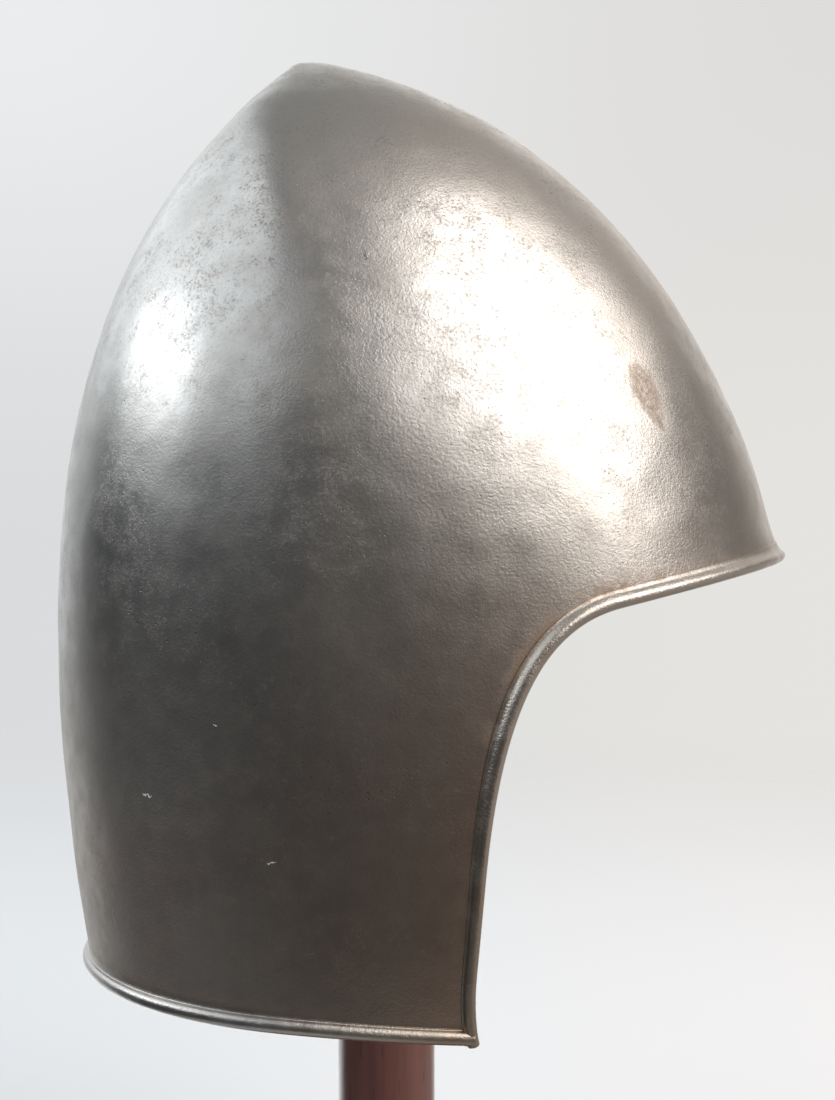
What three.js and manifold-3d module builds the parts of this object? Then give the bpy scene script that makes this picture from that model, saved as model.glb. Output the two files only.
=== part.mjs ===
// An open-faced steel helmet on a plain turned wooden stand.
//
// The skull is one sheet of steel, raised to a point behind its middle, with the face cut out of it.
// Its neck edge and its face edge are rolled outward into a round bead. It stands on a wooden post.
//
// Millimetres, +Z up, the face looks along +X. The origin is on the floor under the post's axis.

import * as THREE from 'three';
import { mergeVertices } from 'three/addons/utils/BufferGeometryUtils.js';
import Module from 'manifold-3d';

// The skull's place on the stand.
const NECK_HEIGHT = 122.5;
const FORWARD_TILT = THREE.MathUtils.degToRad(5);

// The skull's lines in its own side view (x forward, y up), with the neck edge in the plane z = 0.
// Each line runs from the neck to the point; the front line's lower part is cut away with the face.
const POINT = new THREE.Vector2(-53, 289);
const BACK_LINE = new THREE.CubicBezierCurve(
  new THREE.Vector2(-92.5, 0),
  new THREE.Vector2(-138.5, 168.5),
  new THREE.Vector2(-102.5, 237),
  POINT,
);
const FRONT_LINE = new THREE.CubicBezierCurve(
  new THREE.Vector2(90, 0),
  new THREE.Vector2(159, 43),
  new THREE.Vector2(116, 275),
  POINT,
);

// Half the skull's width, from the neck to the point, as the x of a curve.
const HALF_WIDTH_LINE = new THREE.CubicBezierCurve(
  new THREE.Vector2(94, 0),
  new THREE.Vector2(112, 0),
  new THREE.Vector2(98, 0),
  new THREE.Vector2(0, 0),
);

// Every section across the skull is the same egg: widest at this share of its length from the back,
// and a little squarer than an ellipse, whose exponent is 2.
const WIDEST_SHARE = 0.39;
const SQUARENESS = 2.3;

// The sheet, its rolled edge, and how far the point is blunted.
const WALL = 1.8;
const BEAD_RADIUS = 2.3;
const BLUNTING = 1;
const TIP_RING_LEVEL = 0.985;

// The face opening's edge in side view, along the bead's centre: up the cheek, whose lower corner is drawn
// forward a little, round the temple, and straight along the brow, which rises towards the front.
const CHEEK_X = 22.8;
const CHEEK_TOP = 45;
const CORNER_X = 25.2;
const CORNER_HEIGHT = 20;
const TEMPLE_REACH_UP = 43;
const TEMPLE_REACH_BACK = 27;
const BROW_START = new THREE.Vector2(55.3, 125.5);
const BROW_RISE = THREE.MathUtils.degToRad(17.6);

// How finely the skull is faceted.
const AROUND = 52;
const LEVELS = 26;
const BEAD_SIDES = 10;
const BEAD_STEP = 8;

// The stand: a disc foot, a round post and a mushroom head that carries the crown.
const POST_RADIUS = 15.5;
const BASE_RADIUS = 85;
const BASE_THICKNESS = 20;
const BASE_STEP_RADIUS = 30;
const BASE_EDGE_RADIUS = 6;
const SOCKET_DEPTH = 12;
const HEAD_RADIUS = 36;
const HEAD_BOTTOM = 362;
const HEAD_COLLAR = 14;
const HEAD_DOME = 30;
const STAND_SIDES = 48;

// Pieces that touch keep this gap.
const GAP = 0.3;

const STEEL = new THREE.MeshStandardMaterial({ color: 0x6b6761, metalness: 0.95, roughness: 0.4 });
const STAINED_WOOD = new THREE.MeshStandardMaterial({ color: 0x5c2a24, metalness: 0, roughness: 0.4 });

const wasm = await Module();
wasm.setup();

// ---------------------------------------------------------------------------- Solids and meshes

function toSolid(geometry) {
  const bare = geometry.clone();
  bare.deleteAttribute('normal');
  bare.deleteAttribute('uv');
  const merged = mergeVertices(bare, 1e-4);
  const mesh = new wasm.Mesh({
    numProp: 3,
    vertProperties: Float32Array.from(merged.attributes.position.array),
    triVerts: Uint32Array.from(merged.index.array),
  });
  return new wasm.Manifold(mesh);
}

function toGeometry(solid) {
  const mesh = solid.getMesh();
  const geometry = new THREE.BufferGeometry();
  geometry.setAttribute('position', new THREE.BufferAttribute(mesh.vertProperties, 3));
  geometry.setIndex(new THREE.BufferAttribute(mesh.triVerts, 1));
  geometry.computeVertexNormals();
  return geometry;
}

function piece(name, geometry, material) {
  const mesh = new THREE.Mesh(geometry, material);
  mesh.name = name;
  return mesh;
}

// ---------------------------------------------------------------------------- The skull's surface

// A cosine or sine, filled out so that a circle becomes the section's squarer round.
function fill(value) {
  return Math.sign(value) * Math.abs(value) ** (2 / SQUARENESS);
}

// The outer surface at a level (0 at the neck, 1 at the point) and an angle from the front centre line.
function skullPoint(level, angle) {
  const back = BACK_LINE.getPoint(level);
  const front = FRONT_LINE.getPoint(level);
  const along = fill(Math.cos(angle));
  const widest = back.clone().lerp(front, WIDEST_SHARE);
  const place = widest.lerp(along > 0 ? front : back, Math.abs(along));
  const side = HALF_WIDTH_LINE.getPoint(level).x * fill(Math.sin(angle));
  return new THREE.Vector3(place.x, side, place.y);
}

function skullNormal(level, angle) {
  const small = 1e-3;
  const up = skullPoint(Math.min(level + small, 1), angle).sub(skullPoint(Math.max(level - small, 0), angle));
  const across = skullPoint(level, angle + small).sub(skullPoint(level, angle - small));
  return across.cross(up).normalize();
}

// A point under the outer surface, square to it.
function underSkull(level, angle, depth) {
  return skullPoint(level, angle).addScaledVector(skullNormal(level, angle), -depth);
}

// The closed body under the whole surface, down to the neck, at a depth below the outside.
function skullBody(depth) {
  const levels = Array.from({ length: LEVELS }, (_, i) => i / LEVELS);
  levels.push(TIP_RING_LEVEL);
  const positions = [];
  levels.forEach((level) => {
    for (let i = 0; i < AROUND; i += 1) {
      positions.push(...underSkull(level, (i / AROUND) * 2 * Math.PI, depth));
    }
  });
  const tip = levels.length * AROUND;
  positions.push(POINT.x, 0, POINT.y - BLUNTING - depth);
  const floor = tip + 1;
  positions.push(0, 0, 0);
  const faces = [];
  const topRing = tip - AROUND;
  for (let i = 0; i < AROUND; i += 1) {
    const next = (i + 1) % AROUND;
    faces.push(floor, next, i);
    for (let row = 0; row < topRing; row += AROUND) {
      faces.push(row + i, row + next, row + AROUND + next);
      faces.push(row + i, row + AROUND + next, row + AROUND + i);
    }
    faces.push(topRing + i, topRing + next, tip);
  }
  const geometry = new THREE.BufferGeometry();
  geometry.setAttribute('position', new THREE.Float32BufferAttribute(positions, 3));
  geometry.setIndex(faces);
  return toSolid(geometry);
}

// ---------------------------------------------------------------------------- The edges

// Halves the range of levels until the test, which holds below the wanted level, settles on it.
function levelWhere(isBelow) {
  let low = 0;
  let high = 1;
  for (let i = 0; i < 40; i += 1) {
    const middle = (low + high) / 2;
    if (isBelow(middle)) {
      low = middle;
    } else {
      high = middle;
    }
  }
  return low;
}

// The place on the left half of the skull that the side view shows at a point.
function onLeftSide(target) {
  const level = levelWhere((t) => {
    const back = BACK_LINE.getPoint(t);
    const chord = FRONT_LINE.getPoint(t).sub(back);
    return chord.cross(target.clone().sub(back)) > 0;
  });
  const back = BACK_LINE.getPoint(level);
  const front = FRONT_LINE.getPoint(level);
  const share = target.clone().sub(back).length() / front.sub(back).length() - WIDEST_SHARE;
  const along = share / (share > 0 ? 1 - WIDEST_SHARE : WIDEST_SHARE);
  const cosine = Math.sign(along) * Math.abs(along) ** (SQUARENESS / 2);
  return { level, angle: Math.acos(cosine) };
}

// The places where a straight line in side view crosses the skull, at evenly spaced angles.
function alongLine(start, direction, firstAngle, lastAngle, count) {
  return Array.from({ length: count + 1 }, (_, i) => {
    const angle = firstAngle + ((lastAngle - firstAngle) * i) / count;
    const level = levelWhere((t) => {
      const place = skullPoint(t, angle);
      return direction.cross(new THREE.Vector2(place.x, place.z).sub(start)) < 0;
    });
    return { level, angle };
  });
}

function mirrored(places) {
  return places.toReversed().map(({ level, angle }) => ({ level, angle: -angle }));
}

const browDirection = new THREE.Vector2(Math.cos(BROW_RISE), Math.sin(BROW_RISE));

// The face edge's centre line in side view, from the cheek's lower corner to the start of the brow.
function cheekAndTemple() {
  const pull = BROW_START.clone().addScaledVector(browDirection, -TEMPLE_REACH_BACK);
  const path = new THREE.Path();
  path.moveTo(CORNER_X, 0);
  path.quadraticCurveTo(CHEEK_X, CORNER_HEIGHT / 2, CHEEK_X, CORNER_HEIGHT);
  path.lineTo(CHEEK_X, CHEEK_TOP);
  path.bezierCurveTo(CHEEK_X, CHEEK_TOP + TEMPLE_REACH_UP, pull.x, pull.y, BROW_START.x, BROW_START.y);
  return path.getPoints(12);
}

// The same on the skull: up the left cheek, across the brow and down the right cheek.
function faceEdge() {
  const left = cheekAndTemple().map(onLeftSide);
  const brow = alongLine(BROW_START, browDirection, left.at(-1).angle, 0, 16);
  const half = [...left, ...brow.slice(1)];
  return [...half, ...mirrored(half).slice(1)];
}

// The neck edge's centre line: from the left cheek's corner round the back to the right cheek's corner.
function neckEdge() {
  const corner = onLeftSide(new THREE.Vector2(CORNER_X, BEAD_RADIUS));
  const start = new THREE.Vector2(0, BEAD_RADIUS);
  const forward = new THREE.Vector2(1, 0);
  return alongLine(start, forward, corner.angle, 2 * Math.PI - corner.angle, 36);
}

function bead(places) {
  const route = new THREE.CatmullRomCurve3(places.map(({ level, angle }) => skullPoint(level, angle)));
  const section = new THREE.Shape().absarc(0, 0, BEAD_RADIUS, 0, 2 * Math.PI);
  return toSolid(new THREE.ExtrudeGeometry(section, {
    extrudePath: route,
    steps: Math.round(route.getLength() / BEAD_STEP),
    curveSegments: BEAD_SIDES / 2,
    bevelEnabled: false,
  }));
}

// What is cut away from the raised sheet: all below the neck edge, and the face.
function openingCutter() {
  const far = 200;
  const outline = new THREE.Shape([
    new THREE.Vector2(-far, BEAD_RADIUS),
    new THREE.Vector2(CORNER_X, BEAD_RADIUS),
    ...cheekAndTemple().filter((place) => place.y > BEAD_RADIUS),
    BROW_START.clone().addScaledVector(browDirection, far),
    new THREE.Vector2(far, -far),
    new THREE.Vector2(-far, -far),
  ]);
  const slab = new THREE.ExtrudeGeometry(outline, { depth: 2 * far, bevelEnabled: false });
  slab.translate(0, 0, -far);
  slab.rotateX(Math.PI / 2);
  return toSolid(slab);
}

function skull() {
  const sheet = skullBody(0).subtract(skullBody(WALL)).subtract(openingCutter());
  return toGeometry(sheet.add(bead(neckEdge())).add(bead(faceEdge())));
}

// ---------------------------------------------------------------------------- The stand

function turned(profile) {
  const points = profile.map(([radius, height]) => new THREE.Vector2(radius, height));
  return new THREE.LatheGeometry(points, STAND_SIDES).rotateX(Math.PI / 2);
}

function quarterRound(radius, height, size, steps) {
  return Array.from({ length: steps + 1 }, (_, i) => {
    const turn = (i / steps) * (Math.PI / 2);
    return [radius - size + size * Math.cos(turn), height - size + size * Math.sin(turn)];
  });
}

// The disc foot, with a rounded edge, a low step under the post, and the socket that the post stands in.
function standBase() {
  const socket = BASE_THICKNESS - SOCKET_DEPTH;
  const stepTop = BASE_THICKNESS;
  const discTop = BASE_THICKNESS - BASE_EDGE_RADIUS;
  return turned([
    [0, 0],
    [BASE_RADIUS - 1, 0],
    [BASE_RADIUS, 1],
    ...quarterRound(BASE_RADIUS, discTop, BASE_EDGE_RADIUS, 5),
    [BASE_STEP_RADIUS + BASE_EDGE_RADIUS, discTop],
    ...quarterRound(BASE_STEP_RADIUS, stepTop, BASE_EDGE_RADIUS / 2, 3),
    [POST_RADIUS + GAP, stepTop],
    [POST_RADIUS + GAP, socket],
    [0, socket],
  ]);
}

function standPost() {
  const bottom = BASE_THICKNESS - SOCKET_DEPTH + GAP;
  const top = HEAD_BOTTOM + SOCKET_DEPTH - GAP;
  return turned([
    [0, bottom],
    [POST_RADIUS - 1, bottom],
    [POST_RADIUS, bottom + 1],
    [POST_RADIUS, top - 1],
    [POST_RADIUS - 1, top],
    [0, top],
  ]);
}

// The mushroom head, trimmed to the inside of the crown, which it carries.
function standHead() {
  const socketTop = HEAD_BOTTOM + SOCKET_DEPTH;
  const rim = HEAD_BOTTOM + HEAD_COLLAR;
  const dome = Array.from({ length: 9 }, (_, i) => {
    const turn = (i / 9) * (Math.PI / 2);
    return [HEAD_RADIUS * Math.cos(turn), rim + HEAD_DOME * Math.sin(turn)];
  });
  const blank = turned([
    [0, socketTop],
    [POST_RADIUS + GAP, socketTop],
    [POST_RADIUS + GAP, HEAD_BOTTOM],
    [POST_RADIUS + 6, HEAD_BOTTOM],
    ...dome,
    [0, rim + HEAD_DOME],
  ]);
  const crownInside = skullBody(WALL + GAP)
    .rotate([0, THREE.MathUtils.radToDeg(FORWARD_TILT), 0])
    .translate([0, 0, NECK_HEIGHT]);
  return toGeometry(toSolid(blank).intersect(crownInside));
}

// ---------------------------------------------------------------------------- The assembly

const helmet = new THREE.Group();
helmet.position.z = NECK_HEIGHT;
helmet.rotation.y = FORWARD_TILT;
helmet.add(piece('skull', skull(), STEEL));

const stand = new THREE.Group();
stand.add(piece('stand_base', standBase(), STAINED_WOOD));
stand.add(piece('stand_post', standPost(), STAINED_WOOD));
stand.add(piece('stand_head', standHead(), STAINED_WOOD));

const object = new THREE.Group();
object.add(helmet, stand);

export default object;
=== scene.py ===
"""An open-faced steel helmet on a plain turned wooden stand, in a pale studio.

Metres, +Z up, and the face looks along +X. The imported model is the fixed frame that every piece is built
around.
"""

import math

import bpy
from mathutils import Matrix, Vector
from mathutils.kdtree import KDTree


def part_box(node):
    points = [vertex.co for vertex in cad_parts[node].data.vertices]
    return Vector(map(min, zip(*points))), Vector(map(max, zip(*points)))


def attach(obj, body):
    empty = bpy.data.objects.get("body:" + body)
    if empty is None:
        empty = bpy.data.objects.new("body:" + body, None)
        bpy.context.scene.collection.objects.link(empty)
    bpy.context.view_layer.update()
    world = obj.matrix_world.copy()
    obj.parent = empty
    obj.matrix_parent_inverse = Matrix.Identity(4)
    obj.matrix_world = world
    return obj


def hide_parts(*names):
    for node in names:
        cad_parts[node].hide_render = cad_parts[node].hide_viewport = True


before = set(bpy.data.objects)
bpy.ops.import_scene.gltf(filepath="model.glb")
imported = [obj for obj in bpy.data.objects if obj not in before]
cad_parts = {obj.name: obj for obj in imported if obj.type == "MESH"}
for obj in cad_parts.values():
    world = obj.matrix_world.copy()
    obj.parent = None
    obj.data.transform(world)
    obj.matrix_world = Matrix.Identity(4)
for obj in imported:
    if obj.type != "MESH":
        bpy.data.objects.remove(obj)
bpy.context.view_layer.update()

# -------------------------------------------------------------------------------- The skull, raised
# The skull is one sheet of steel about 1.8 mm thick, raised with the hammer to a blunt point behind its
# middle. It is drawn up here ring by ring from the neck to the point. Each ring is the same egg, a little
# squarer than an oval, and only grows, shrinks and tips. The lines are in the skull's own frame, with its
# neck edge at z = 0.
point = Vector((-0.053, 0, 0.289))
back_line = [Vector((-0.0925, 0, 0)), Vector((-0.1385, 0, 0.1685)), Vector((-0.1025, 0, 0.237)), point]
front_line = [Vector((0.090, 0, 0)), Vector((0.159, 0, 0.043)), Vector((0.116, 0, 0.275)), point]
half_width_line = [0.094, 0.112, 0.098, 0.0]
widest_share = 0.39
squareness = 2.3
blunting = 0.001
ring_points = 64
rings = 40
last_ring_level = 0.985
wall = 0.0018


def along_curve(pulls, level):
    """The place at a level, 0 at the neck and 1 at the point, on a smooth line with two pulls."""
    start, first, second, end = pulls
    rest = 1 - level
    return start * rest**3 + first * (3 * rest**2 * level) + second * (3 * rest * level**2) + end * level**3


def fill_out(value):
    """A cosine or sine filled out, so that a circle becomes the squarer round of the skull."""
    return math.copysign(abs(value) ** (2 / squareness), value)


def ring_at(level):
    """The widest place, length, half width and slope of the egg at a level."""
    back = along_curve(back_line, level)
    chord = along_curve(front_line, level) - back
    half_width = along_curve(half_width_line, level)
    return back + chord * widest_share, chord.length, half_width, math.atan2(chord.z, chord.x)


def on_skull(level, angle):
    """The sheet's outside at a level and at an angle from the front centre line."""
    widest, length, half_width, slope = ring_at(level)
    along = fill_out(math.cos(angle))
    reach = length * along * (1 - widest_share if along > 0 else widest_share)
    side = half_width * fill_out(math.sin(angle))
    return widest + Vector((reach * math.cos(slope), side, reach * math.sin(slope)))


def out_of_skull(level, angle):
    """The way out of the sheet, square to it."""
    small = 1e-3
    up = on_skull(min(level + small, 1), angle) - on_skull(max(level - small, 0), angle)
    across = on_skull(level, angle + small) - on_skull(level, angle - small)
    return across.cross(up).normalized()


def fade(value, low, high):
    """0 at low and beyond, 1 at high and beyond, and a smooth change between them."""
    share = min(max((value - low) / (high - low), 0), 1)
    return share * share * (3 - 2 * share)


def pick(piece):
    """Selects one piece alone."""
    bpy.ops.object.select_all(action="DESELECT")
    bpy.context.view_layer.objects.active = piece
    piece.select_set(True)


def apply_modifier(piece, kind, **settings):
    """Gives a piece a modifier and applies it."""
    pick(piece)
    bpy.ops.object.modifier_add(type=kind)
    modifier = piece.modifiers[-1]
    for name, value in settings.items():
        setattr(modifier, name, value)
    bpy.ops.object.modifier_apply(modifier=modifier.name)


def clean_seams(piece):
    """Closes the hair-thin faces that a cut or a join leaves in a piece."""
    pick(piece)
    bpy.ops.object.mode_set(mode="EDIT")
    bpy.ops.mesh.select_all(action="SELECT")
    bpy.ops.mesh.remove_doubles(threshold=5e-6)
    bpy.ops.mesh.quads_convert_to_tris(quad_method="BEAUTY", ngon_method="BEAUTY")
    bpy.ops.mesh.dissolve_degenerate(threshold=1e-5)
    bpy.ops.mesh.delete_loose()
    bpy.ops.object.mode_set(mode="OBJECT")


def raise_dome(name):
    """The skull's closed blank, from the neck ring to the point, open below."""
    bpy.ops.object.select_all(action="DESELECT")
    bpy.ops.mesh.primitive_circle_add(vertices=ring_points, radius=1)
    dome = bpy.context.object
    dome.name = name
    for vertex in dome.data.vertices:
        angle = math.atan2(vertex.co.y, vertex.co.x)
        along = fill_out(math.cos(angle))
        vertex.co.x = along * (1 - widest_share if along > 0 else widest_share)
        vertex.co.y = fill_out(math.sin(angle))
    bpy.ops.object.mode_set(mode="EDIT")
    bpy.ops.mesh.select_all(action="SELECT")
    middle, length, half_width, slope = Vector((0, 0, 0)), 1, 1, 0
    for level in [ring / rings for ring in range(rings)] + [last_ring_level]:
        if level > 0:
            bpy.ops.mesh.extrude_edges_move()
        widest, new_length, new_half_width, new_slope = ring_at(level)
        bpy.ops.transform.rotate(value=-slope, orient_axis="Y", center_override=middle)
        growth = (new_length / length, new_half_width / half_width, 1)
        bpy.ops.transform.resize(value=growth, center_override=middle)
        bpy.ops.transform.rotate(value=new_slope, orient_axis="Y", center_override=middle)
        bpy.ops.transform.translate(value=widest - middle)
        middle, length, half_width, slope = widest, new_length, new_half_width, new_slope
    bpy.ops.mesh.extrude_edges_move()
    bpy.ops.mesh.merge(type="CENTER")
    bpy.ops.object.mode_set(mode="OBJECT")
    dome.data.vertices[-1].co = point - Vector((0, 0, blunting))
    bpy.ops.object.mode_set(mode="EDIT")
    bpy.ops.mesh.select_all(action="SELECT")
    bpy.ops.mesh.normals_make_consistent(inside=False)
    bpy.ops.object.mode_set(mode="OBJECT")
    return dome


skull = raise_dome("skull_steel")
apply_modifier(skull, "SUBSURF", levels=2, render_levels=2)

# A soft ridge runs down from the point on each side, where the sheet was drawn up to it.
ridge_start = Vector((-0.0595, 0, 0.264))
ridge_lean = 0.25
ridge_height = 0.0009
ridge_half_width = 0.009
ridge_begins = (0.015, 0.040)
ridge_ends = (0.115, 0.075)
ways_out = [vertex.normal.copy() for vertex in skull.data.vertices]
for vertex, way_out in zip(skull.data.vertices, ways_out):
    across = vertex.co.x - ridge_start.x - (ridge_start.z - vertex.co.z) * ridge_lean
    from_point = (vertex.co - point).length
    ridge = fade(from_point, *ridge_begins) * fade(from_point, *ridge_ends)
    vertex.co += way_out * ridge_height * ridge * math.exp(-((across / ridge_half_width) ** 2))

# -------------------------------------------------------------------------------- The skull's edges
# The face is cut out of the sheet: up the cheek, round the temple, and straight along the brow, which rises
# forward. The face edge and the neck edge are then rolled outward over themselves into a smooth bead.
neck_edge_height = 0.0023
corner = Vector((0.0252, 0, 0.0004))
cheek_low = Vector((0.0228, 0, 0.020))
cheek_high = Vector((0.0228, 0, 0.045))
brow_start = Vector((0.0553, 0, 0.1255))
brow_rise = math.radians(17.6)
brow_way = Vector((math.cos(brow_rise), 0, math.sin(brow_rise)))
cheek_pull = cheek_high + Vector((0, 0, 0.043))
temple_pull = brow_start - brow_way * 0.027
corner_pull = Vector((0.0228, 0, 0.010))

corner_steps = 12
cheek_steps = 12
temple_steps = 48
side_edge = []
for step in range(corner_steps + 1):
    share = step / corner_steps
    pulled = corner_pull * (2 * share * (1 - share))
    side_edge.append(corner * (1 - share) ** 2 + pulled + cheek_low * share**2)
side_edge += [cheek_low.lerp(cheek_high, step / cheek_steps) for step in range(1, cheek_steps + 1)]
temple_curve = [cheek_high, cheek_pull, temple_pull, brow_start]
side_edge += [along_curve(temple_curve, step / temple_steps) for step in range(1, temple_steps + 1)]


def level_where(is_below, halvings=40):
    """Halves the levels until the test, which holds below the wanted level, settles on it."""
    low, high = 0, 1
    for _ in range(halvings):
        middle = (low + high) / 2
        low, high = (middle, high) if is_below(middle) else (low, middle)
    return low


def seen_from_side(place):
    """The level and angle on the skull's left half that lie behind a place in its side view."""

    def is_below(level):
        back = along_curve(back_line, level)
        chord = along_curve(front_line, level) - back
        return chord.x * (place.z - back.z) - chord.z * (place.x - back.x) > 0

    level = level_where(is_below)
    widest, length, _, slope = ring_at(level)
    along = (place - widest).dot(Vector((math.cos(slope), 0, math.sin(slope)))) / length
    along /= 1 - widest_share if along > 0 else widest_share
    return level, math.acos(math.copysign(abs(along) ** (squareness / 2), along))


def straight_across(start, way, first_angle, last_angle, steps):
    """The levels and angles where a straight line in side view crosses the skull."""
    places = []
    for step in range(steps + 1):
        angle = first_angle + (last_angle - first_angle) * step / steps

        def is_below(level):
            reach = on_skull(level, angle) - start
            return way.x * reach.z - way.z * reach.x < 0

        places.append((level_where(is_below), angle))
    return places


brow_steps = 60
neck_steps = 240
left_face_edge = [seen_from_side(place) for place in side_edge]
left_face_edge += straight_across(brow_start, brow_way, left_face_edge[-1][1], 0, brow_steps)[1:]
face_edge = left_face_edge + [(level, -angle) for level, angle in reversed(left_face_edge[:-1])]
corner_angle = seen_from_side(Vector((corner.x, 0, neck_edge_height)))[1]
neck_middle = Vector((0, 0, neck_edge_height))
straight_ahead = Vector((1, 0, 0))
neck_edge = straight_across(
    neck_middle, straight_ahead, 2 * math.pi - corner_angle, corner_angle, neck_steps
)

# The hammer leaves broad shallow hollows, which fade out towards the edges and the point, where the sheet
# was trued up.
trued_edge = (0.003, 0.028)
trued_point = (0.012, 0.040)
edge_tree = KDTree(len(face_edge) + len(neck_edge))
for index, (level, angle) in enumerate(face_edge + neck_edge):
    edge_tree.insert(on_skull(level, angle), index)
edge_tree.balance()
away_from_edge = skull.vertex_groups.new(name="away_from_edge")
for vertex in skull.data.vertices:
    from_edge = edge_tree.find(vertex.co)[2]
    from_point = (vertex.co - point).length
    blow_share = fade(from_edge, *trued_edge) * fade(from_point, *trued_point)
    away_from_edge.add([vertex.index], blow_share, "REPLACE")
for name, size, depth in (("broad_blows", 0.034, 0.0007), ("small_blows", 0.011, 0.00022)):
    blows = bpy.data.textures.new(name, "CLOUDS")
    blows.noise_scale = size
    blows.noise_depth = 1
    placing = {"texture": blows, "texture_coords": "LOCAL", "vertex_group": "away_from_edge"}
    apply_modifier(skull, "DISPLACE", strength=depth, **placing)

# Along the front of the brow the sheet turns out a little before its roll.
brow_flare = 0.0010
flare_reach = 0.0065


def flare_at(place):
    """How far the edge is turned out at a place on it."""
    return brow_flare * fade(place.x, 0.055, 0.110) * fade(place.z, 0.10, 0.13)


ways_out = [vertex.normal.copy() for vertex in skull.data.vertices]
for vertex, way_out in zip(skull.data.vertices, ways_out):
    edge_place, _, distance = edge_tree.find(vertex.co)
    vertex.co += way_out * flare_at(edge_place) * math.exp(-((distance / flare_reach) ** 2))

# The blank gets its thickness, with one material slot for the outside and one for the inside.
skull.data.materials.append(None)
skull.data.materials.append(None)
apply_modifier(skull, "SOLIDIFY", thickness=wall, offset=-1, use_even_offset=True, material_offset=1)

# The cut, as a thick block with the outline of all that goes: the face, and what is under the neck edge.
far = 0.2
outline = [Vector((-far, 0, neck_edge_height)), Vector((corner.x, 0, neck_edge_height))]
outline += [place for place in side_edge if place.z > neck_edge_height]
outline += [brow_start + brow_way * far, Vector((far, 0, -far)), Vector((-far, 0, -far))]
bpy.ops.object.select_all(action="DESELECT")
bpy.ops.mesh.primitive_circle_add(vertices=len(outline), radius=far, fill_type="NGON")
cut = bpy.context.object
for vertex, place in zip(cut.data.vertices, outline):
    vertex.co = place - Vector((0, far, 0))
bpy.ops.object.mode_set(mode="EDIT")
bpy.ops.mesh.select_all(action="SELECT")
bpy.ops.mesh.extrude_region_move(TRANSFORM_OT_translate={"value": (0, 2 * far, 0)})
bpy.ops.mesh.select_all(action="SELECT")
bpy.ops.mesh.normals_make_consistent(inside=False)
bpy.ops.object.mode_set(mode="OBJECT")
apply_modifier(skull, "BOOLEAN", operation="DIFFERENCE", solver="EXACT", object=cut)
bpy.data.objects.remove(cut)


def evenly(places, step_length):
    """Levels and angles along an edge, evenly spaced on the sheet."""
    reached = [0]
    for before, after in zip(places, places[1:]):
        reached.append(reached[-1] + (on_skull(*after) - on_skull(*before)).length)
    steps = round(reached[-1] / step_length)
    even, index = [], 0
    for step in range(steps + 1):
        wanted = reached[-1] * step / steps
        while index < len(places) - 2 and reached[index + 1] < wanted:
            index += 1
        share = (wanted - reached[index]) / (reached[index + 1] - reached[index])
        (level, angle), (next_level, next_angle) = places[index], places[index + 1]
        even.append((level + (next_level - level) * share, angle + (next_angle - angle) * share))
    return even


roll_overlap = 0.0001
hollow_pull = 0.45
hollow_rise = 0.06
foot_depth = 0.0006
foot_bevel = 0.0001
last_turn = math.radians(325)
hollow_steps = 11
round_steps = 22


def roll_section(radius, foot, lip, leave):
    """One section through a roll, as places (into the sheet, out of the sheet), closed.

    The foot is how far the roll's free edge lies back on the sheet, and the lip how proud of the sheet it
    is. The hollow between the foot and the round leaves the round at the angle given.
    """
    lift = radius - wall - roll_overlap
    start = Vector((radius * math.cos(leave), lift + radius * math.sin(leave)))
    way = Vector((math.sin(leave), -math.cos(leave)))
    end = Vector((foot, lip))
    pull = (end - start).length * hollow_pull
    hollow = [end, end - Vector((pull, -pull * hollow_rise)), start + way * pull, start]
    places = [Vector((foot, -foot_depth)), Vector((foot + foot_bevel, lip - 2 * foot_bevel))]
    places += [along_curve(hollow, step / hollow_steps) for step in range(hollow_steps + 1)]
    for step in range(1, round_steps + 1):
        turn = leave + (last_turn - leave) * step / round_steps
        places.append(Vector((radius * math.cos(turn), lift + radius * math.sin(turn))))
    return places


def roll_edge(name, places, section_at):
    """A rolled edge: a strip of squares wrapped round an edge by its sections, and closed at its ends."""
    centres = [on_skull(*place) for place in places]
    last = len(places) - 1
    sections = [section_at(index / last) for index in range(last + 1)]
    sides = len(sections[0])
    bpy.ops.object.select_all(action="DESELECT")
    bpy.ops.mesh.primitive_grid_add(x_subdivisions=last, y_subdivisions=sides, size=1)
    strip = bpy.context.object
    strip.name = name
    for vertex in strip.data.vertices:
        index = round((vertex.co.x + 0.5) * last)
        side = round((vertex.co.y + 0.5) * sides) % sides
        way = (centres[min(index + 1, last)] - centres[max(index - 1, 0)]).normalized()
        out = out_of_skull(*places[index])
        inward = way.cross(out).normalized()
        across, proud = sections[index][side]
        flare = flare_at(centres[index]) * math.exp(-((max(across, 0) / flare_reach) ** 2))
        vertex.co = centres[index] + inward * across + out * (proud + flare)
    bpy.ops.object.mode_set(mode="EDIT")
    bpy.ops.mesh.select_all(action="SELECT")
    bpy.ops.mesh.remove_doubles(threshold=1e-6)
    bpy.ops.mesh.fill_holes(sides=0)
    bpy.ops.mesh.normals_make_consistent(inside=False)
    bpy.ops.object.mode_set(mode="OBJECT")
    return strip


def face_section(share):
    """Slim on the cheek, with a proud lip round the temple, and slim with a long hollow over the brow."""
    up = min(share, 1 - share) * 2
    temple = fade(up, 0.22, 0.42) - fade(up, 0.50, 0.66)
    front = fade(up, 0.60, 0.95)
    radius = 0.00185 + 0.0002 * temple - 0.0002 * front + 0.00015 * fade(up, 0.012, 0.0)
    foot = 0.0022 + 0.0011 * fade(up, 0.05, 0.40) + 0.0012 * front
    lip = 0.00008 + 0.00042 * temple - 0.00016 * front
    return roll_section(radius, foot, lip, math.radians(58 - 8 * front))


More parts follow.
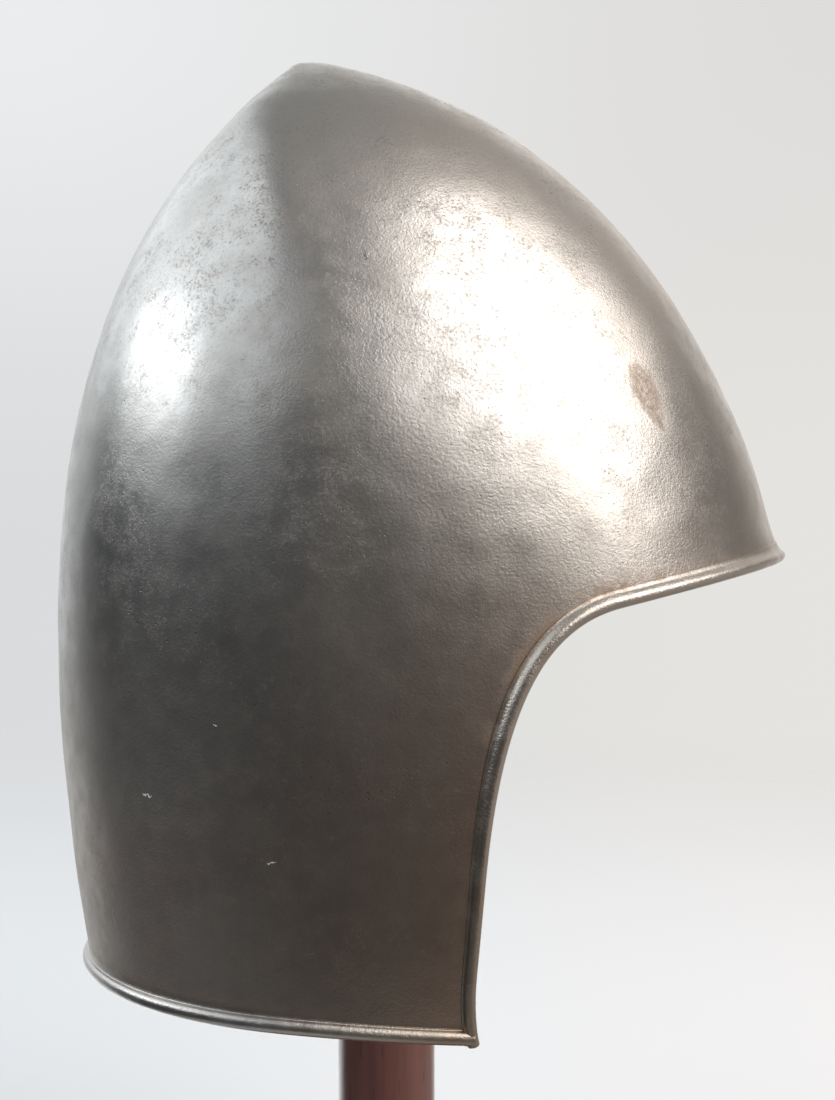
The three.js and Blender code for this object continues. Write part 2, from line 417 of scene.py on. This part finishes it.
def neck_section(share):
    """Round and even, closed down tight on the sheet."""
    return roll_section(0.0021, 0.0024, -0.0001, math.radians(30))


section_spacing = 0.002
face_roll = roll_edge("face_roll", evenly(face_edge, section_spacing), face_section)
neck_roll = roll_edge("neck_roll", evenly(neck_edge, section_spacing), neck_section)
for roll in (neck_roll, face_roll):
    apply_modifier(skull, "BOOLEAN", operation="UNION", solver="EXACT", object=roll)
    bpy.data.objects.remove(roll)
clean_seams(skull)

# How far each place is from the edge's line, for the wear and the rust and painted shade by the rolls.
edge_distance = skull.data.attributes.new("edge_distance", "FLOAT", "POINT")
for vertex in skull.data.vertices:
    edge_distance.data[vertex.index].value = edge_tree.find(vertex.co)[2]

# The finished skull is tipped a little forward and lowered over the stand's head.
forward_tilt = math.radians(5)
tip = Matrix.Rotation(forward_tilt, 3, "Y") @ (point - Vector((0, 0, blunting)))
neck_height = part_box("skull")[1].z - tip.z
skull.rotation_euler.y = forward_tilt
skull.location.z = neck_height
pick(skull)
bpy.ops.object.transform_apply(location=True, rotation=True, scale=True)
bpy.ops.object.shade_smooth_by_angle(angle=math.radians(40))

# -------------------------------------------------------------------------------- The skull's steel
# Old polished steel gone brown-grey: bare metal under a thin patina, clouded and peppered with small dark
# flecks and pits. It has a few fine scratches with painted glints, one crack in its skin, a brown stain by
# the brow, rust and painted shade in the groove of the rolls, and the rolls' tops worn bright.


def add_node(tree, kind, inputs=None, **settings):
    """A node with its settings, and its inputs set or linked by name or number."""
    made = tree.nodes.new("ShaderNode" + kind)
    for name, value in settings.items():
        setattr(made, name, value)
    for name, value in (inputs or {}).items():
        if isinstance(value, bpy.types.NodeSocket):
            tree.links.new(value, made.inputs[name])
        else:
            made.inputs[name].default_value = value
    return made


def rise(tree, value, low, high, to_low=0.0, to_high=1.0):
    """A value carried smoothly from one range to another."""
    inputs = {"Value": value, "From Min": low, "From Max": high, "To Min": to_low, "To Max": to_high}
    return add_node(tree, "MapRange", inputs, interpolation_type="SMOOTHSTEP").outputs["Result"]


def calculate(tree, operation, first, second=0.0, third=0.0):
    """A sum of up to three values."""
    return add_node(tree, "Math", {0: first, 1: second, 2: third}, operation=operation).outputs[0]


def times(tree, first, *others):
    """Values multiplied together."""
    for other in others:
        first = calculate(tree, "MULTIPLY", first, other)
    return first


def plus(tree, value, mask, share=1.0):
    """A value with a share of a mask added to it."""
    return calculate(tree, "MULTIPLY_ADD", mask, share, value)


def tint(tree, share, first, second, how="MIX"):
    """Two colours mixed by a share."""
    inputs = {0: share, 6: first, 7: second}
    return add_node(tree, "Mix", inputs, data_type="RGBA", blend_type=how).outputs[2]


def noise(tree, position, per_metre, detail, roughness=0.5):
    """Soft noise round 0.5."""
    inputs = {"Vector": position, "Scale": per_metre, "Detail": detail, "Roughness": roughness}
    return add_node(tree, "TexNoise", inputs).outputs["Fac"]


def parts_of(tree, vector):
    """A vector's X, Y and Z."""
    split = add_node(tree, "SeparateXYZ", {"Vector": vector})
    return split.outputs["X"], split.outputs["Y"], split.outputs["Z"]


def new_group(name, inputs, outputs):
    """A shader node group with named inputs and outputs, what it is given, and its end node."""
    tree = bpy.data.node_groups.new(name, "ShaderNodeTree")
    for label, kind, value in inputs:
        socket = tree.interface.new_socket(name=label, in_out="INPUT", socket_type=kind)
        if value is not None:
            socket.default_value = value
    for label, kind in outputs:
        tree.interface.new_socket(name=label, in_out="OUTPUT", socket_type=kind)
    return tree, tree.nodes.new("NodeGroupInput").outputs, tree.nodes.new("NodeGroupOutput")


def use_group(tree, group, inputs):
    """The one output of a group placed in a material with its own values."""
    return add_node(tree, "Group", inputs, node_tree=group).outputs[0]


# Small pits or specks: one in each cell of a random pattern, each of its own size, many missing.
specks, given, wanted = new_group(
    "scattered_specks",
    [
        ("Position", "NodeSocketVector", None),
        ("Cells per Metre", "NodeSocketFloat", 400.0),
        ("Share Filled", "NodeSocketFloat", 0.5),
        ("Size", "NodeSocketFloat", 0.3),
    ],
    [("Mask", "NodeSocketFloat")],
)
smallest_speck = 0.04
cells = add_node(specks, "TexVoronoi", {"Vector": given["Position"], "Scale": given["Cells per Metre"]})
cell_parts = add_node(specks, "SeparateColor", {"Color": cells.outputs["Color"]})
filled = calculate(specks, "LESS_THAN", cell_parts.outputs[0], given["Share Filled"])
speck_size = calculate(specks, "MULTIPLY_ADD", given["Size"], cell_parts.outputs[1], smallest_speck)
inside = calculate(specks, "DIVIDE", cells.outputs["Distance"], speck_size)
specks.links.new(times(specks, rise(specks, inside, 0.55, 1.1, 1.0, 0.0), filled), wanted.inputs["Mask"])

# Clouds: a slow wandering of tone at one size, from 0 to 1.
clouds, given, wanted = new_group(
    "clouding",
    [
        ("Position", "NodeSocketVector", None),
        ("Clouds per Metre", "NodeSocketFloat", 40.0),
        ("Detail", "NodeSocketFloat", 4.0),
        ("Sharpness", "NodeSocketFloat", 0.5),
    ],
    [("Value", "NodeSocketFloat")],
)
wander = noise(clouds, given["Position"], given["Clouds per Metre"], given["Detail"], 0.6)
half = times(clouds, calculate(clouds, "SUBTRACT", 1.0, given["Sharpness"]), 0.35)
half = calculate(clouds, "ADD", half, 0.05)
low_end = calculate(clouds, "SUBTRACT", 0.5, half)
high_end = calculate(clouds, "ADD", 0.5, half)
clouds.links.new(rise(clouds, wander, low_end, high_end), wanted.inputs["Value"])

# A scratch or crack: a thin wavering line of its own place, turn and length, on the side with negative Y.
side_mark, given, wanted = new_group(
    "side_mark",
    [
        ("Position", "NodeSocketVector", None),
        ("Middle", "NodeSocketVector", None),
        ("Turn", "NodeSocketFloat", 0.0),
        ("Length", "NodeSocketFloat", 0.005),
    ],
    [("Mask", "NodeSocketFloat")],
)
half_thickness = 0.00022
most_waver = 0.0007
from_mark = {0: given["Position"], 1: given["Middle"]}
from_mark = add_node(side_mark, "VectorMath", from_mark, operation="SUBTRACT").outputs[0]
turned = {"Vector": from_mark, "Angle": given["Turn"]}
turned = add_node(side_mark, "VectorRotate", turned, rotation_type="Y_AXIS").outputs[0]
along, _, across = parts_of(side_mark, turned)
waver = noise(side_mark, given["Position"], 450.0, 2.0)
waver = rise(side_mark, waver, 0.25, 0.75, -most_waver, most_waver)
across = calculate(side_mark, "DIVIDE", calculate(side_mark, "ADD", across, waver), half_thickness)
along = times(side_mark, calculate(side_mark, "DIVIDE", along, given["Length"]), 2.0)
reach = plus(side_mark, times(side_mark, across, across), along, along)
near_half = calculate(side_mark, "LESS_THAN", parts_of(side_mark, given["Position"])[1], 0.0)
mark_mask = times(side_mark, rise(side_mark, reach, 0.4, 1.3, 1.0, 0.0), near_half)
side_mark.links.new(mark_mask, wanted.inputs["Mask"])


def cloudy(tree, position, per_metre, detail, sharpness):
    """Clouds in a material."""
    inputs = {"Position": position, "Clouds per Metre": per_metre, "Detail": detail, "Sharpness": sharpness}
    return use_group(tree, clouds, inputs)


def speckled(tree, position, per_metre, filled, size):
    """Pits or specks in a material."""
    inputs = {"Position": position, "Cells per Metre": per_metre, "Share Filled": filled, "Size": size}
    return use_group(tree, specks, inputs)


def marked(tree, position, middle, turn, length):
    """A scratch or crack in a material, its turn in degrees."""
    inputs = {"Position": position, "Middle": middle, "Turn": math.radians(turn), "Length": length}
    return use_group(tree, side_mark, inputs)


def new_material(name):
    """A material with its surface shader and nothing else yet."""
    material = bpy.data.materials.new(name)
    material.use_nodes = True
    return material, material.node_tree, material.node_tree.nodes["Principled BSDF"]


def finish_surface(tree, surface, colour, roughness, relief, depth):
    """The colour, roughness and relief, of a depth in metres, given to a material's surface."""
    tree.links.new(colour, surface.inputs["Base Color"])
    tree.links.new(roughness, surface.inputs["Roughness"])
    bump = add_node(tree, "Bump", {"Height": relief, "Strength": 1.0, "Distance": depth})
    tree.links.new(bump.outputs["Normal"], surface.inputs["Normal"])


# The patina: grey behind and brown ahead, clouded at three sizes.
steel, tree, surface = new_material("patinated_steel")
position = add_node(tree, "TexCoord").outputs["Object"]
ahead, left, height = parts_of(tree, position)
distance = add_node(tree, "Attribute", attribute_name="edge_distance").outputs["Fac"]
slow_clouds = cloudy(tree, position, 22.0, 3.0, 0.4)
quick_clouds = cloudy(tree, position, 150.0, 5.0, 0.3)
fine_clouds = cloudy(tree, position, 620.0, 3.0, 0.2)
grey = tint(tree, slow_clouds, (0.425, 0.415, 0.405, 1), (0.51, 0.505, 0.50, 1))
brown = tint(tree, slow_clouds, (0.45, 0.405, 0.365, 1), (0.525, 0.495, 0.465, 1))
colour = tint(tree, rise(tree, ahead, -0.060, 0.060), grey, brown)
colour = tint(tree, rise(tree, quick_clouds, 0.0, 1.0, 0.0, 0.36), colour, (0.36, 0.33, 0.30, 1))
colour = tint(tree, rise(tree, fine_clouds, 0.0, 1.0, 0.0, 0.18), colour, (0.34, 0.31, 0.28, 1))

# Low down the colour is browner, most of all along the face, with rusty patches.
low_down = rise(tree, height, 0.27, 0.16)
by_the_face = rise(tree, ahead, -0.03, 0.035)
low_brown_tone = tint(tree, by_the_face, (0.96, 0.88, 0.83, 1), (1.0, 0.87, 0.79, 1))
colour = tint(tree, low_down, colour, tint(tree, 1.0, colour, low_brown_tone, "MULTIPLY"))
rust_patches = times(tree, rise(tree, slow_clouds, 0.45, 0.9, 0.0, 0.30), low_down)
colour = tint(tree, rust_patches, colour, (0.40, 0.30, 0.26, 1))

# Flecks: small dark irregular marks, thick in some patches and thin in others, and few low on the side.
# Between them there are fine round pits.
patches = rise(tree, times(tree, quick_clouds, slow_clouds), 0.05, 0.6, -0.01, 0.10)
fewest = calculate(tree, "SUBTRACT", rise(tree, height, 0.19, 0.30, 0.64, 0.59), patches)
flecks = calculate(tree, "SUBTRACT", noise(tree, position, 1100.0, 4.0, 0.8), fewest)
flecks = rise(tree, flecks, -0.04, 0.12)
fleck_share = rise(tree, height, 0.305, 0.350, 0.30, 0.62)
colour = tint(tree, times(tree, flecks, fleck_share), colour, (0.15, 0.125, 0.11, 1))
pits = times(tree, speckled(tree, position, 850.0, 0.26, 0.24), rise(tree, slow_clouds, 0.2, 0.7))
colour = tint(tree, times(tree, pits, 0.55), colour, (0.10, 0.08, 0.07, 1))

# The rolls: rust and painted shade in the hollow and on the sheet beside it, strongest round the temple,
# and bright metal where their tops have been rubbed, dull and brown again about the cheek's lower corner.
groove_rust_and_shade = times(tree, rise(tree, distance, 0.0018, 0.0030), rise(tree, distance, 0.0036, 0.0085, 1.0, 0.0))
groove_rust_and_shade = times(tree, groove_rust_and_shade, rise(tree, height, 0.185, 0.225, 0.30, 1.0))
groove_rust_and_shade = times(tree, groove_rust_and_shade, rise(tree, ahead, 0.055, 0.100, 1.0, 0.35), 0.75)
groove_rust_and_shade = times(tree, groove_rust_and_shade, rise(tree, quick_clouds, 0.1, 0.7, 0.25, 1.0))
# Rust and painted shade: the band along the rolls is darkened to a rusty brown.
colour = tint(tree, groove_rust_and_shade, colour, (0.25, 0.165, 0.11, 1))
worn = rise(tree, distance, 0.0022, 0.0034, 1.0, 0.0)
worn = times(tree, worn, rise(tree, quick_clouds, 0.1, 0.8, 0.4, 1.0))
dull_corner = times(tree, rise(tree, ahead, -0.025, 0.020), rise(tree, height, 0.20, 0.15))
dull_corner = times(tree, dull_corner, rise(tree, quick_clouds, 0.2, 0.8, 1.0, 0.6))
worn_colour = tint(tree, rise(tree, ahead, -0.04, 0.03), (0.47, 0.46, 0.45, 1), (0.46, 0.42, 0.38, 1))
worn_colour = tint(tree, dull_corner, worn_colour, (0.29, 0.25, 0.20, 1))
colour = tint(tree, worn, colour, worn_colour)

# The stain by the brow: a ragged brown drop, wider above.
stain_middle = (0.077, 0.0, 0.300)
stain_lean = math.radians(-24)
stain_half_length = 0.0115
stain_place = {"Vector": position, "Location": stain_middle, "Rotation": (0, stain_lean, 0)}
stain_place = add_node(tree, "Mapping", stain_place, vector_type="TEXTURE").outputs["Vector"]
across, _, along = parts_of(tree, stain_place)
stain_half_width = rise(tree, along, -0.012, 0.008, 0.0012, 0.0050)
across = calculate(tree, "DIVIDE", across, stain_half_width)
along = calculate(tree, "DIVIDE", along, stain_half_length)
reach = plus(tree, times(tree, across, across), along, along)
reach = plus(tree, reach, rise(tree, fine_clouds, 0.0, 1.0, -0.3, 0.3))
reach = plus(tree, reach, rise(tree, quick_clouds, 0.0, 1.0, -0.3, 0.3))
near_half = calculate(tree, "LESS_THAN", left, 0.0)
stain = times(tree, rise(tree, reach, 0.55, 1.25, 1.0, 0.0), near_half)
stain = times(tree, stain, rise(tree, fine_clouds, 0.0, 1.0, 0.35, 0.80))
colour = tint(tree, stain, colour, (0.24, 0.165, 0.115, 1))

# A few scratches low on the side, pale as painted glints, and one dark crack in the skin of the metal
# above.
slanting_scratch = marked(tree, position, (-0.0648, 0, 0.1893), -30, 0.0030)
nick = marked(tree, position, (-0.0450, 0, 0.2099), 0, 0.0012)
level_scratch = marked(tree, position, (-0.0294, 0, 0.1725), 0, 0.0028)
scratches_with_painted_glint = calculate(tree, "MAXIMUM", slanting_scratch, calculate(tree, "MAXIMUM", nick, level_scratch))
crack = marked(tree, position, (-0.0050, 0, 0.3413), -75, 0.0075)
# Painted glint: the scratches are pale and less metallic, so they show bright under any light.
colour = tint(tree, times(tree, scratches_with_painted_glint, 0.8), colour, (0.75, 0.74, 0.72, 1))
colour = tint(tree, times(tree, crack, 0.7), colour, (0.12, 0.09, 0.07, 1))

# Bare metal, less so in the groove's rust and painted shade, the stain, and the scratches' painted glints.
# It is duller in the groove and the stain, where it is flecked, on the rolls' tops, and low down at the
# back.
rust_stain_and_shade = calculate(tree, "MAXIMUM", times(tree, groove_rust_and_shade, 0.6), times(tree, stain, 0.8))
dulled = calculate(tree, "MAXIMUM", rust_stain_and_shade, scratches_with_painted_glint)
tree.links.new(rise(tree, dulled, 0.0, 1.0, 1.0, 0.35), surface.inputs["Metallic"])
low_back = times(tree, rise(tree, height, 0.26, 0.12, 0.0, 0.28), rise(tree, ahead, -0.010, -0.070))
low_back = times(tree, low_back, rise(tree, distance, 0.0020, 0.0050))
roughness = rise(tree, slow_clouds, 0.0, 1.0, 0.33, 0.285)
roughness = plus(tree, roughness, rise(tree, quick_clouds, 0.0, 1.0, -0.02, 0.04))
roughness = plus(tree, roughness, low_back)
roughness = plus(tree, roughness, worn, 0.03)
roughness = plus(tree, roughness, times(tree, worn, dull_corner), 0.14)
roughness = plus(tree, roughness, flecks, 0.12)
roughness = plus(tree, roughness, rust_stain_and_shade, 0.25)

# The fine relief: a grain like leather's all over, stronger ahead of the middle, on the rolls and low down
# at the back, with the pits, flecks and crack sunk in it.
grain_strength = rise(tree, ahead, -0.060, 0.030, 0.55, 1.0)
grain_strength = plus(tree, grain_strength, worn, 1.2)
grain_strength = plus(tree, grain_strength, low_back, 5.0)
relief = plus(tree, noise(tree, position, 1600.0, 2.0), noise(tree, position, 850.0, 1.0), 0.7)
relief = times(tree, relief, grain_strength)
relief = plus(tree, relief, pits, -0.5)
relief = plus(tree, relief, flecks, -0.15)
relief = plus(tree, relief, crack, -1.5)
finish_surface(tree, surface, colour, roughness, relief, 0.00005)

# The inside was left from the hammer and has darkened: brown-black, rough, and rusted in patches.
steel_inside, tree, surface = new_material("steel_inside")
position = add_node(tree, "TexCoord").outputs["Object"]
patches = cloudy(tree, position, 60.0, 6.0, 0.5)
scale_marks = speckled(tree, position, 300.0, 0.6, 0.5)
colour = tint(tree, patches, (0.10, 0.085, 0.075, 1), (0.19, 0.15, 0.12, 1))
colour = tint(tree, times(tree, scale_marks, 0.5), colour, (0.05, 0.04, 0.035, 1))
tree.links.new(rise(tree, patches, 0.0, 1.0, 0.85, 0.5), surface.inputs["Metallic"])
roughness = rise(tree, patches, 0.0, 1.0, 0.5, 0.68)
relief = plus(tree, noise(tree, position, 70.0, 2.0), scale_marks, -0.08)
finish_surface(tree, surface, colour, roughness, relief, 0.0008)

skull.data.materials[0] = steel
skull.data.materials[1] = steel_inside
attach(skull, "root")
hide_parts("skull")

# --------------------------------------------------------------------------------- The stand's foot
# A disc of wood turned on the lathe, with a rounded edge and a low step in its middle. The post stands in a
# socket in the step and is glued there.
foot_low, foot_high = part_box("stand_base")
foot_radius = foot_high.x
foot_top = foot_high.z
foot_round = 0.006
step_radius = 0.030
post_low, post_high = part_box("stand_post")
post_radius = post_high.x
gap = 0.0003
crease = math.radians(35)
eased = 0.001
flat_ring = 0.060


def quarter_round(radius, height, size, steps):
    """Profile places round a quarter circle, from the side to the top."""
    places = []
    for step in range(steps + 1):
        turn = step / steps * math.pi / 2
        places.append((radius - size + size * math.cos(turn), height - size + size * math.sin(turn)))
    return places


def turn_on_lathe(name, profile, steps):
    """A profile of (radius, height) places, which starts and ends on the axis, spun once round."""
    bpy.ops.object.select_all(action="DESELECT")
    bpy.ops.mesh.primitive_circle_add(vertices=len(profile), radius=1)
    turned = bpy.context.object
    turned.name = name
    for vertex, (radius, height) in zip(turned.data.vertices, profile):
        vertex.co = (radius, 0, height)
    bpy.ops.object.mode_set(mode="EDIT")
    bpy.ops.mesh.select_all(action="SELECT")
    bpy.ops.mesh.spin(steps=steps, angle=2 * math.pi, center=(0, 0, 0), axis=(0, 0, 1))
    bpy.ops.mesh.select_all(action="SELECT")
    bpy.ops.mesh.remove_doubles(threshold=1e-6)
    bpy.ops.mesh.delete_loose()
    bpy.ops.mesh.select_all(action="SELECT")
    bpy.ops.mesh.normals_make_consistent(inside=False)
    bpy.ops.object.mode_set(mode="OBJECT")
    bpy.ops.object.shade_smooth_by_angle(angle=crease)
    return turned


disc_top = foot_top - foot_round
socket_floor = post_low.z - gap
foot_profile = [(0, foot_low.z), (foot_radius - eased, foot_low.z), (foot_radius, foot_low.z + eased)]
foot_profile += quarter_round(foot_radius, disc_top, foot_round, steps=10)
foot_profile += [(flat_ring, disc_top), (step_radius + foot_round, disc_top)]
foot_profile += quarter_round(step_radius, foot_top, foot_round / 2, steps=8)
foot_profile += [(post_radius + gap, foot_top), (post_radius + gap, socket_floor), (0, socket_floor)]
foot = turn_on_lathe("stand_foot", foot_profile, steps=160)

# --------------------------------------------------------------------------------- The stand's wood
# Plain close-grained wood, stained red-brown and wiped with a thin varnish. The grain runs up the post,
# darker streaks follow it, and fine pores break the shine.
grain_stretch = (1, 1, 0.07)
wood, tree, surface = new_material("stained_wood")
position = add_node(tree, "TexCoord").outputs["Object"]
drawn_up = add_node(tree, "Mapping", {"Vector": position, "Scale": grain_stretch}).outputs["Vector"]
streaks = cloudy(tree, drawn_up, 260.0, 4.0, 0.4)
broad = cloudy(tree, drawn_up, 60.0, 2.0, 0.3)
pores = speckled(tree, drawn_up, 1500.0, 0.25, 0.5)
colour = tint(tree, broad, (0.125, 0.046, 0.037, 1), (0.175, 0.066, 0.051, 1))
colour = tint(tree, rise(tree, streaks, 0.0, 1.0, 0.0, 0.45), colour, (0.075, 0.025, 0.020, 1))
colour = tint(tree, times(tree, pores, 0.5), colour, (0.03, 0.012, 0.010, 1))
roughness = plus(tree, rise(tree, streaks, 0.0, 1.0, 0.30, 0.40), pores, 0.2)
relief = plus(tree, times(tree, streaks, 0.5), pores, -1.0)
finish_surface(tree, surface, colour, roughness, relief, 0.00004)
surface.inputs["Coat Weight"].default_value = 0.35
surface.inputs["Coat Roughness"].default_value = 0.18

foot.data.materials.append(wood)
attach(foot, "root")
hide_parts("stand_base")

# --------------------------------------------------------------------------------- The stand's post
# A straight round post of the same wood, 31 mm across, turned on the lathe. Its ends are eased, and it is
# glued into the foot and into the head.
post_length = post_high.z - post_low.z
post_profile = [(0, post_low.z), (post_radius - eased, post_low.z), (post_radius, post_low.z + eased)]
post_profile += [(post_radius, post_low.z + post_length * share) for share in (0.25, 0.5, 0.75)]
post_profile += [(post_radius, post_high.z - eased), (post_radius - eased, post_high.z), (0, post_high.z)]
post = turn_on_lathe("stand_pole", post_profile, steps=96)
post.data.materials.append(wood)
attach(post, "root")
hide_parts("stand_post")

# --------------------------------------------------------------------------------- The stand's head
# A mushroom of the same wood, turned on the lathe and glued on the post. Its top is shaped to the inside of
# the crown, which it carries.
head_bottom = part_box("stand_head")[0].z
head_socket = post_high.z + gap
head_collar = 0.014
head_dome = 0.030
head_radius = 0.036
head_shoulder = 0.006
dome_steps = 16
crown_gap = 0.0006
head_rim = head_bottom + head_collar
head_profile = [(0, head_socket), (post_radius + gap, head_socket), (post_radius + gap, head_bottom)]
head_profile += [(post_radius + head_shoulder, head_bottom)]
for step in range(dome_steps):
    turn = step / dome_steps * math.pi / 2
    head_profile.append((head_radius * math.cos(turn), head_rim + head_dome * math.sin(turn)))
head_profile += [(0, head_rim + head_dome)]
head = turn_on_lathe("stand_crown", head_profile, steps=96)
crown_inside = raise_dome("crown_inside")
bpy.ops.object.mode_set(mode="EDIT")
bpy.ops.mesh.select_all(action="SELECT")
bpy.ops.mesh.fill_holes(sides=0)
bpy.ops.mesh.normals_make_consistent(inside=False)
bpy.ops.transform.shrink_fatten(value=-(wall + crown_gap))
bpy.ops.object.mode_set(mode="OBJECT")
crown_inside.rotation_euler.y = forward_tilt
crown_inside.location.z = neck_height
bpy.ops.object.transform_apply(location=True, rotation=True, scale=True)
apply_modifier(head, "BOOLEAN", operation="INTERSECT", solver="EXACT", object=crown_inside)
bpy.data.objects.remove(crown_inside)
clean_seams(head)
bpy.ops.object.shade_smooth_by_angle(angle=crease)
head.data.materials.clear()
head.data.materials.append(wood)
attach(head, "root")
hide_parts("stand_head")

# --------------------------------------------------------------------------------------- The studio
# A pale floor, with painted light on it, that fades out into pale surroundings. A large soft window of
# light hangs ahead of the face, and a long one behind the helmet, with a brighter strip under it.
bpy.ops.object.select_all(action="DESELECT")
bpy.ops.mesh.primitive_circle_add(vertices=96, radius=4, fill_type="NGON")
floor = bpy.context.object
floor.name = "studio_floor"
floor.visible_glossy = False
paper, tree, surface = new_material("studio_paper")
surface.inputs["Roughness"].default_value = 0.9
surface.inputs["Specular IOR Level"].default_value = 0.1
position = add_node(tree, "TexCoord").outputs["Object"]
# Painted light: the floor is darker and bluer behind the helmet, and paler and warmer ahead of its face.
floor_painted_light = rise(tree, parts_of(tree, position)[0], -0.25, 0.35)
floor_colour = tint(tree, floor_painted_light, (0.71, 0.735, 0.765, 1), (0.80, 0.785, 0.79, 1))
tree.links.new(floor_colour, surface.inputs["Base Color"])
from_stand = add_node(tree, "VectorMath", {0: position}, operation="LENGTH").outputs["Value"]
tree.links.new(rise(tree, from_stand, 0.5, 2.2, 1.0, 0.0), surface.inputs["Alpha"])
floor.data.materials.append(paper)

helmet_middle = Vector((0.01, 0, 0.27))
window_distance = 3.5


def hang_window(name, azimuth, elevation, roll, width, height, glow, colour):
    """A soft window turned to the helmet. Its azimuth, in degrees, goes from the near side to the face."""
    east, up = math.radians(azimuth), math.radians(elevation)
    way = Vector((math.cos(up) * math.sin(east), -math.cos(up) * math.cos(east), math.sin(up)))
    light = bpy.data.lights.new(name, "AREA")
    light.shape = "RECTANGLE"
    light.size = width * window_distance
    light.size_y = height * window_distance
    light.energy = glow * math.pi * light.size * light.size_y
    light.color = colour
    lamp = bpy.data.objects.new(name, light)
    bpy.context.scene.collection.objects.link(lamp)
    facing = way.to_track_quat("Z", "Y").to_matrix() @ Matrix.Rotation(math.radians(roll), 3, "Z")
    lamp.rotation_euler = facing.to_euler()
    lamp.location = helmet_middle + way * window_distance
    lamp.visible_camera = False


hang_window("front_window", 54.0, 42.0, -37.7, 0.83, 0.88, 4.1, (1.0, 0.985, 0.965))
hang_window("back_window", -88.3, 45.6, 11.8, 2.60, 0.70, 1.25, (0.90, 0.96, 1.0))
hang_window("back_strip", -86.0, 28.0, 4.0, 0.82, 0.23, 3.4, (0.92, 0.97, 1.0))

# The surroundings that the steel shows: a pale backdrop on the far side, brightest low down behind the
# helmet, a low glow before the face, pale light from underneath and above, and a dark room on the near
# side, a little warmer towards the face.
world = bpy.data.worlds.new("studio")
bpy.context.scene.world = world
world.use_nodes = True
tree = world.node_tree
tree.nodes.clear()
east, north, up = parts_of(tree, add_node(tree, "TexCoord").outputs["Generated"])
backdrop = times(tree, rise(tree, north, 0.52, 0.91), 0.95)
low_left = times(tree, rise(tree, north, 0.42, 0.78), rise(tree, east, -0.3, 0.0, 1.0, 0.0))
low_left = times(tree, low_left, rise(tree, up, 0.15, 0.35, 1.0, 0.0))
low_left = times(tree, low_left, rise(tree, up, -0.40, -0.05, 2.2, 0.8))
before_face = times(tree, rise(tree, east, 0.45, 0.85, 0.0, 0.37), rise(tree, up, 0.05, 0.30, 1.0, 0.0))
underneath = rise(tree, up, -0.90, -0.55, 0.45, 0.0)
above = times(tree, rise(tree, up, 0.21, 0.61), rise(tree, north, -0.68, -0.08))
above = times(tree, above, rise(tree, east, -0.2, 0.5, 0.30, 0.42))
room = times(tree, rise(tree, east, -0.4, 0.4, 0.0, 0.075), rise(tree, up, -0.4, 0.1, 0.5, 1.1))
darkest = 0.068
glow = calculate(tree, "MAXIMUM", backdrop, low_left)
glow = calculate(tree, "MAXIMUM", glow, before_face)
glow = calculate(tree, "MAXIMUM", glow, underneath)
glow = plus(tree, plus(tree, glow, above), room)
glow = calculate(tree, "ADD", glow, darkest)
cast = tint(tree, rise(tree, east, -0.6, 0.6), (0.95, 0.99, 1.0, 1), (1.0, 0.955, 0.90, 1))
warm_room = times(tree, rise(tree, north, -0.3, 0.3, 1.0, 0.0), rise(tree, east, -0.2, 0.4))
cast = tint(tree, warm_room, cast, (1.0, 0.87, 0.78, 1))
reflected = add_node(tree, "Background", {"Color": cast, "Strength": glow}).outputs[0]

# The camera itself sees plainer surroundings: grey above and paler below.
to_the_right = rise(tree, east, -0.22, 0.22)
upper = tint(tree, to_the_right, (0.83, 0.84, 0.85, 1), (0.73, 0.72, 0.71, 1))
middle = tint(tree, to_the_right, (0.70, 0.71, 0.72, 1), (0.78, 0.77, 0.74, 1))
lower = (0.88, 0.88, 0.89, 1)
sky = tint(tree, rise(tree, up, 0.0, 0.28), middle, upper)
sky = tint(tree, rise(tree, up, -0.30, -0.08), lower, sky)
pale = add_node(tree, "Background", {"Color": sky, "Strength": 1.0}).outputs[0]
seen = add_node(tree, "LightPath").outputs["Is Camera Ray"]
both = add_node(tree, "MixShader", {0: seen, 1: reflected, 2: pale}).outputs[0]
add_node(tree, "OutputWorld", {"Surface": both})

# The camera stands level on the near side, at the height of the temple.
camera_data = bpy.data.cameras.new("camera")
camera_data.lens = 61.9
camera_data.sensor_width = 36
camera = bpy.data.objects.new("camera", camera_data)
bpy.context.scene.collection.objects.link(camera)
camera.location = (0.010, -0.610, 0.257)
camera.rotation_euler = (math.radians(90), 0, 0)
bpy.context.scene.camera = camera
bpy.context.scene.view_settings.view_transform = "Standard"
